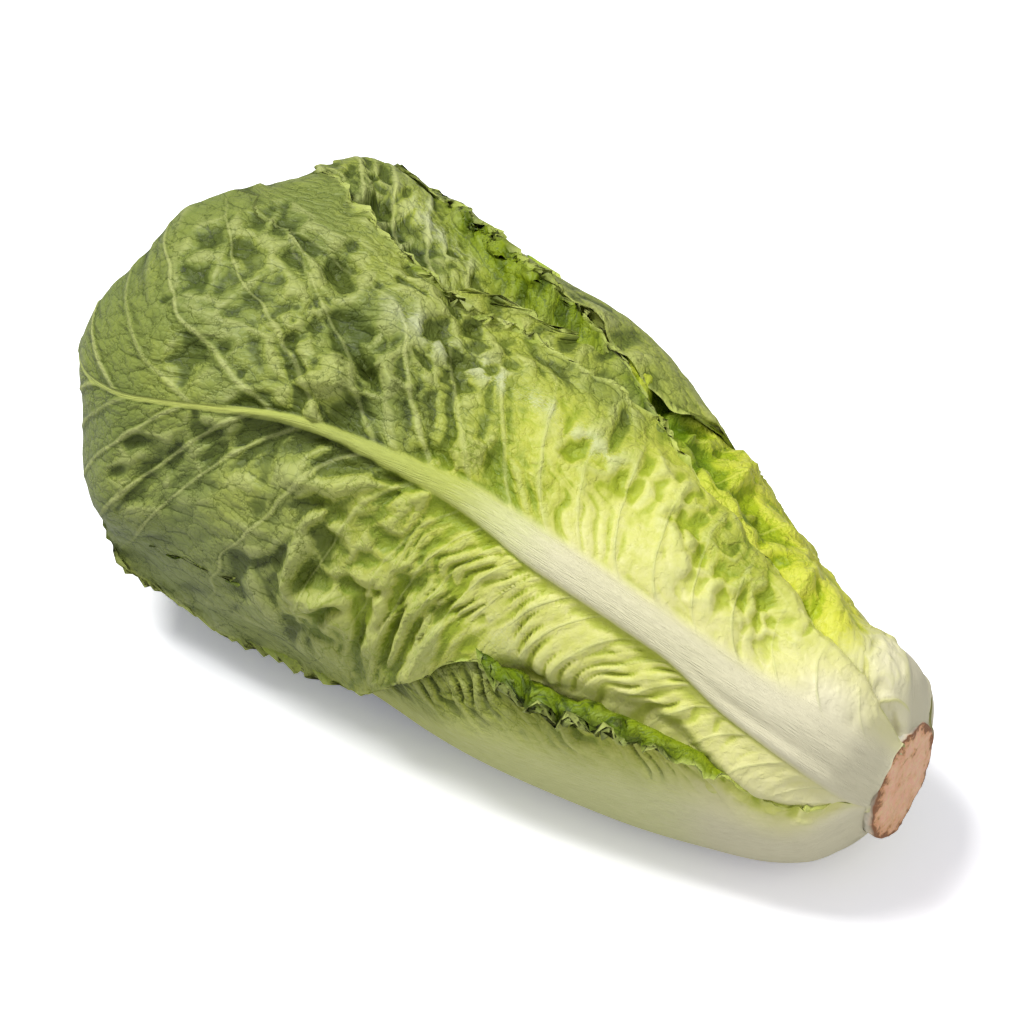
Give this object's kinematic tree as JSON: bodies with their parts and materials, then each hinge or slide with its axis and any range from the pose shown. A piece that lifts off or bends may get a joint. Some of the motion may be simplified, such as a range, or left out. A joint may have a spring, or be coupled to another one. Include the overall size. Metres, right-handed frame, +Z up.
{
  "type": "romaine lettuce head",
  "caption": "Trimmed head of romaine lettuce lying on its side: long overlapping green leaves with broad pale ribs, wrapped round a cut stem.",
  "frame": {"origin": "on the resting surface, under the middle of the head's box", "axes": "+X along the head from the leaf tips toward the cut stem, +Z up from the surface the head lies on, +Y away from the front leaf"},
  "size_m": [0.2824, 0.1422, 0.1387],
  "materials": {
    "cut_stem": "moist cut stem, browned at the rim",
    "outer_leaf": "waxy green leaf, paler toward the rib and the base",
    "inner_leaf": "crisp yellow-green leaf",
    "heart_leaf": "tender pale yellow leaf"
  },
  "bodies": {
    "root": {"stem": "cut_stem", "leaf_front": "outer_leaf", "leaf_bottom": "outer_leaf", "leaf_back": "outer_leaf", "leaf_top": "outer_leaf", "leaf_side": "outer_leaf", "leaf_under": "outer_leaf", "leaf_crinkled": "inner_leaf", "inner_leaf_1": "inner_leaf", "inner_leaf_2": "inner_leaf", "inner_leaf_3": "inner_leaf", "inner_leaf_4": "inner_leaf", "inner_leaf_5": "inner_leaf", "middle_leaf_1": "heart_leaf", "middle_leaf_2": "heart_leaf", "middle_leaf_3": "heart_leaf", "middle_leaf_4": "heart_leaf", "middle_leaf_5": "heart_leaf", "heart_leaf_1": "heart_leaf", "heart_leaf_2": "heart_leaf", "heart_leaf_3": "heart_leaf"}
  },
  "joints": []
}
